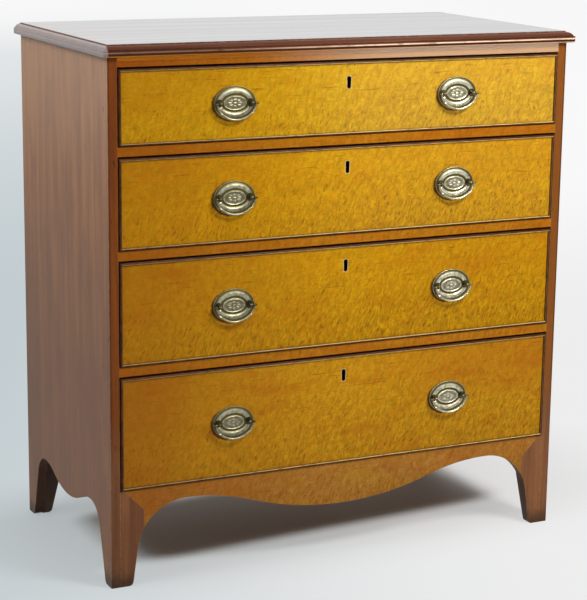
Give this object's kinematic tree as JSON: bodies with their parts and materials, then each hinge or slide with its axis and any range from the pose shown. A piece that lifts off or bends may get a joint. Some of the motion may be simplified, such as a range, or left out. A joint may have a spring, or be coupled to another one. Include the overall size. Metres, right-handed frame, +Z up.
{
  "type": "chest of drawers",
  "caption": "Flat-front chest of drawers in cherry and figured maple, on scalloped bracket feet, with graduated sliding drawers and oval brass bail pulls.",
  "frame": {"origin": "on the floor at the centre of the plan of the whole chest, pulls and top overhang included", "axes": "+Z up, the drawer fronts face -Y, +X is to the right of someone facing the front"},
  "size_m": [0.989, 0.5195, 1.0205],
  "materials": {
    "cherry": "aged reddish-brown cherry under a worn satin varnish",
    "cherry_top": "cherry with a glossy polish on the upper face",
    "maple": "golden figured maple under a glossy varnish",
    "dark_bead": "dark stained beading, satin",
    "pine": "bare aged pine",
    "aged_brass": "stamped brass with a greenish-grey patina, polished on the high spots",
    "lock_brass": "dull cast brass",
    "iron": "dull forged iron"
  },
  "bodies": {
    "case": {"top_board": "cherry_top", "top_screws": "iron", "side_left": "cherry", "side_right": "cherry", "top_rail": "maple", "drawer_dividers": "maple", "top_back_rail": "pine", "case_bottom": "pine", "back_boards": "pine", "drawer_runners": "pine", "drawer_stops": "pine", "apron": "maple", "front_foot_left": "cherry", "front_foot_right": "cherry", "rear_foot_brackets": "pine", "glue_blocks": "pine"},
    "drawer_1": {"drawer_1_front": "maple", "drawer_1_sides": "pine", "drawer_1_back": "pine", "drawer_1_bottom": "pine", "drawer_1_cock_bead": "dark_bead", "drawer_1_lock": "lock_brass", "drawer_1_pull_plates": "aged_brass", "drawer_1_pull_posts": "aged_brass"},
    "drawer_1_bolt": {"drawer_1_lock_bolt": "iron"},
    "drawer_1_bail_left": {"drawer_1_bail_left": "aged_brass"},
    "drawer_1_bail_right": {"drawer_1_bail_right": "aged_brass"},
    "drawer_2": {"drawer_2_front": "maple", "drawer_2_sides": "pine", "drawer_2_back": "pine", "drawer_2_bottom": "pine", "drawer_2_cock_bead": "dark_bead", "drawer_2_lock": "lock_brass", "drawer_2_pull_plates": "aged_brass", "drawer_2_pull_posts": "aged_brass"},
    "drawer_2_bolt": {"drawer_2_lock_bolt": "iron"},
    "drawer_2_bail_left": {"drawer_2_bail_left": "aged_brass"},
    "drawer_2_bail_right": {"drawer_2_bail_right": "aged_brass"},
    "drawer_3": {"drawer_3_front": "maple", "drawer_3_sides": "pine", "drawer_3_back": "pine", "drawer_3_bottom": "pine", "drawer_3_cock_bead": "dark_bead", "drawer_3_lock": "lock_brass", "drawer_3_pull_plates": "aged_brass", "drawer_3_pull_posts": "aged_brass"},
    "drawer_3_bolt": {"drawer_3_lock_bolt": "iron"},
    "drawer_3_bail_left": {"drawer_3_bail_left": "aged_brass"},
    "drawer_3_bail_right": {"drawer_3_bail_right": "aged_brass"},
    "drawer_4": {"drawer_4_front": "maple", "drawer_4_sides": "pine", "drawer_4_back": "pine", "drawer_4_bottom": "pine", "drawer_4_cock_bead": "dark_bead", "drawer_4_lock": "lock_brass", "drawer_4_pull_plates": "aged_brass", "drawer_4_pull_posts": "aged_brass"},
    "drawer_4_bolt": {"drawer_4_lock_bolt": "iron"},
    "drawer_4_bail_left": {"drawer_4_bail_left": "aged_brass"},
    "drawer_4_bail_right": {"drawer_4_bail_right": "aged_brass"}
  },
  "joints": [
    {"name": "drawer_1_slide", "type": "slide", "parent": "case", "child": "drawer_1", "axis": [0, -1, 0], "range_m": [0, 0.33]},
    {"name": "drawer_1_bolt_slide", "type": "slide", "parent": "drawer_1", "child": "drawer_1_bolt", "axis": [0, 0, 1], "range_m": [0, 0.009]},
    {"name": "drawer_1_bail_left_hinge", "type": "hinge", "parent": "drawer_1", "child": "drawer_1_bail_left", "pos_m": [-0.235, -0.25575, 0.907], "axis": [-1, 0, 0], "range_deg": [-8, 165]},
    {"name": "drawer_1_bail_right_hinge", "type": "hinge", "parent": "drawer_1", "child": "drawer_1_bail_right", "pos_m": [0.235, -0.25575, 0.907], "axis": [-1, 0, 0], "range_deg": [-8, 165]},
    {"name": "drawer_2_slide", "type": "slide", "parent": "case", "child": "drawer_2", "axis": [0, -1, 0], "range_m": [0, 0.33]},
    {"name": "drawer_2_bolt_slide", "type": "slide", "parent": "drawer_2", "child": "drawer_2_bolt", "axis": [0, 0, 1], "range_m": [0, 0.009]},
    {"name": "drawer_2_bail_left_hinge", "type": "hinge", "parent": "drawer_2", "child": "drawer_2_bail_left", "pos_m": [-0.235, -0.25575, 0.731], "axis": [-1, 0, 0], "range_deg": [-8, 165]},
    {"name": "drawer_2_bail_right_hinge", "type": "hinge", "parent": "drawer_2", "child": "drawer_2_bail_right", "pos_m": [0.235, -0.25575, 0.731], "axis": [-1, 0, 0], "range_deg": [-8, 165]},
    {"name": "drawer_3_slide", "type": "slide", "parent": "case", "child": "drawer_3", "axis": [0, -1, 0], "range_m": [0, 0.33]},
    {"name": "drawer_3_bolt_slide", "type": "slide", "parent": "drawer_3", "child": "drawer_3_bolt", "axis": [0, 0, 1], "range_m": [0, 0.009]},
    {"name": "drawer_3_bail_left_hinge", "type": "hinge", "parent": "drawer_3", "child": "drawer_3_bail_left", "pos_m": [-0.235, -0.25575, 0.5265], "axis": [-1, 0, 0], "range_deg": [-8, 165]},
    {"name": "drawer_3_bail_right_hinge", "type": "hinge", "parent": "drawer_3", "child": "drawer_3_bail_right", "pos_m": [0.235, -0.25575, 0.5265], "axis": [-1, 0, 0], "range_deg": [-8, 165]},
    {"name": "drawer_4_slide", "type": "slide", "parent": "case", "child": "drawer_4", "axis": [0, -1, 0], "range_m": [0, 0.33]},
    {"name": "drawer_4_bolt_slide", "type": "slide", "parent": "drawer_4", "child": "drawer_4_bolt", "axis": [0, 0, 1], "range_m": [0, 0.009]},
    {"name": "drawer_4_bail_left_hinge", "type": "hinge", "parent": "drawer_4", "child": "drawer_4_bail_left", "pos_m": [-0.235, -0.25575, 0.298], "axis": [-1, 0, 0], "range_deg": [-8, 165]},
    {"name": "drawer_4_bail_right_hinge", "type": "hinge", "parent": "drawer_4", "child": "drawer_4_bail_right", "pos_m": [0.235, -0.25575, 0.298], "axis": [-1, 0, 0], "range_deg": [-8, 165]}
  ]
}
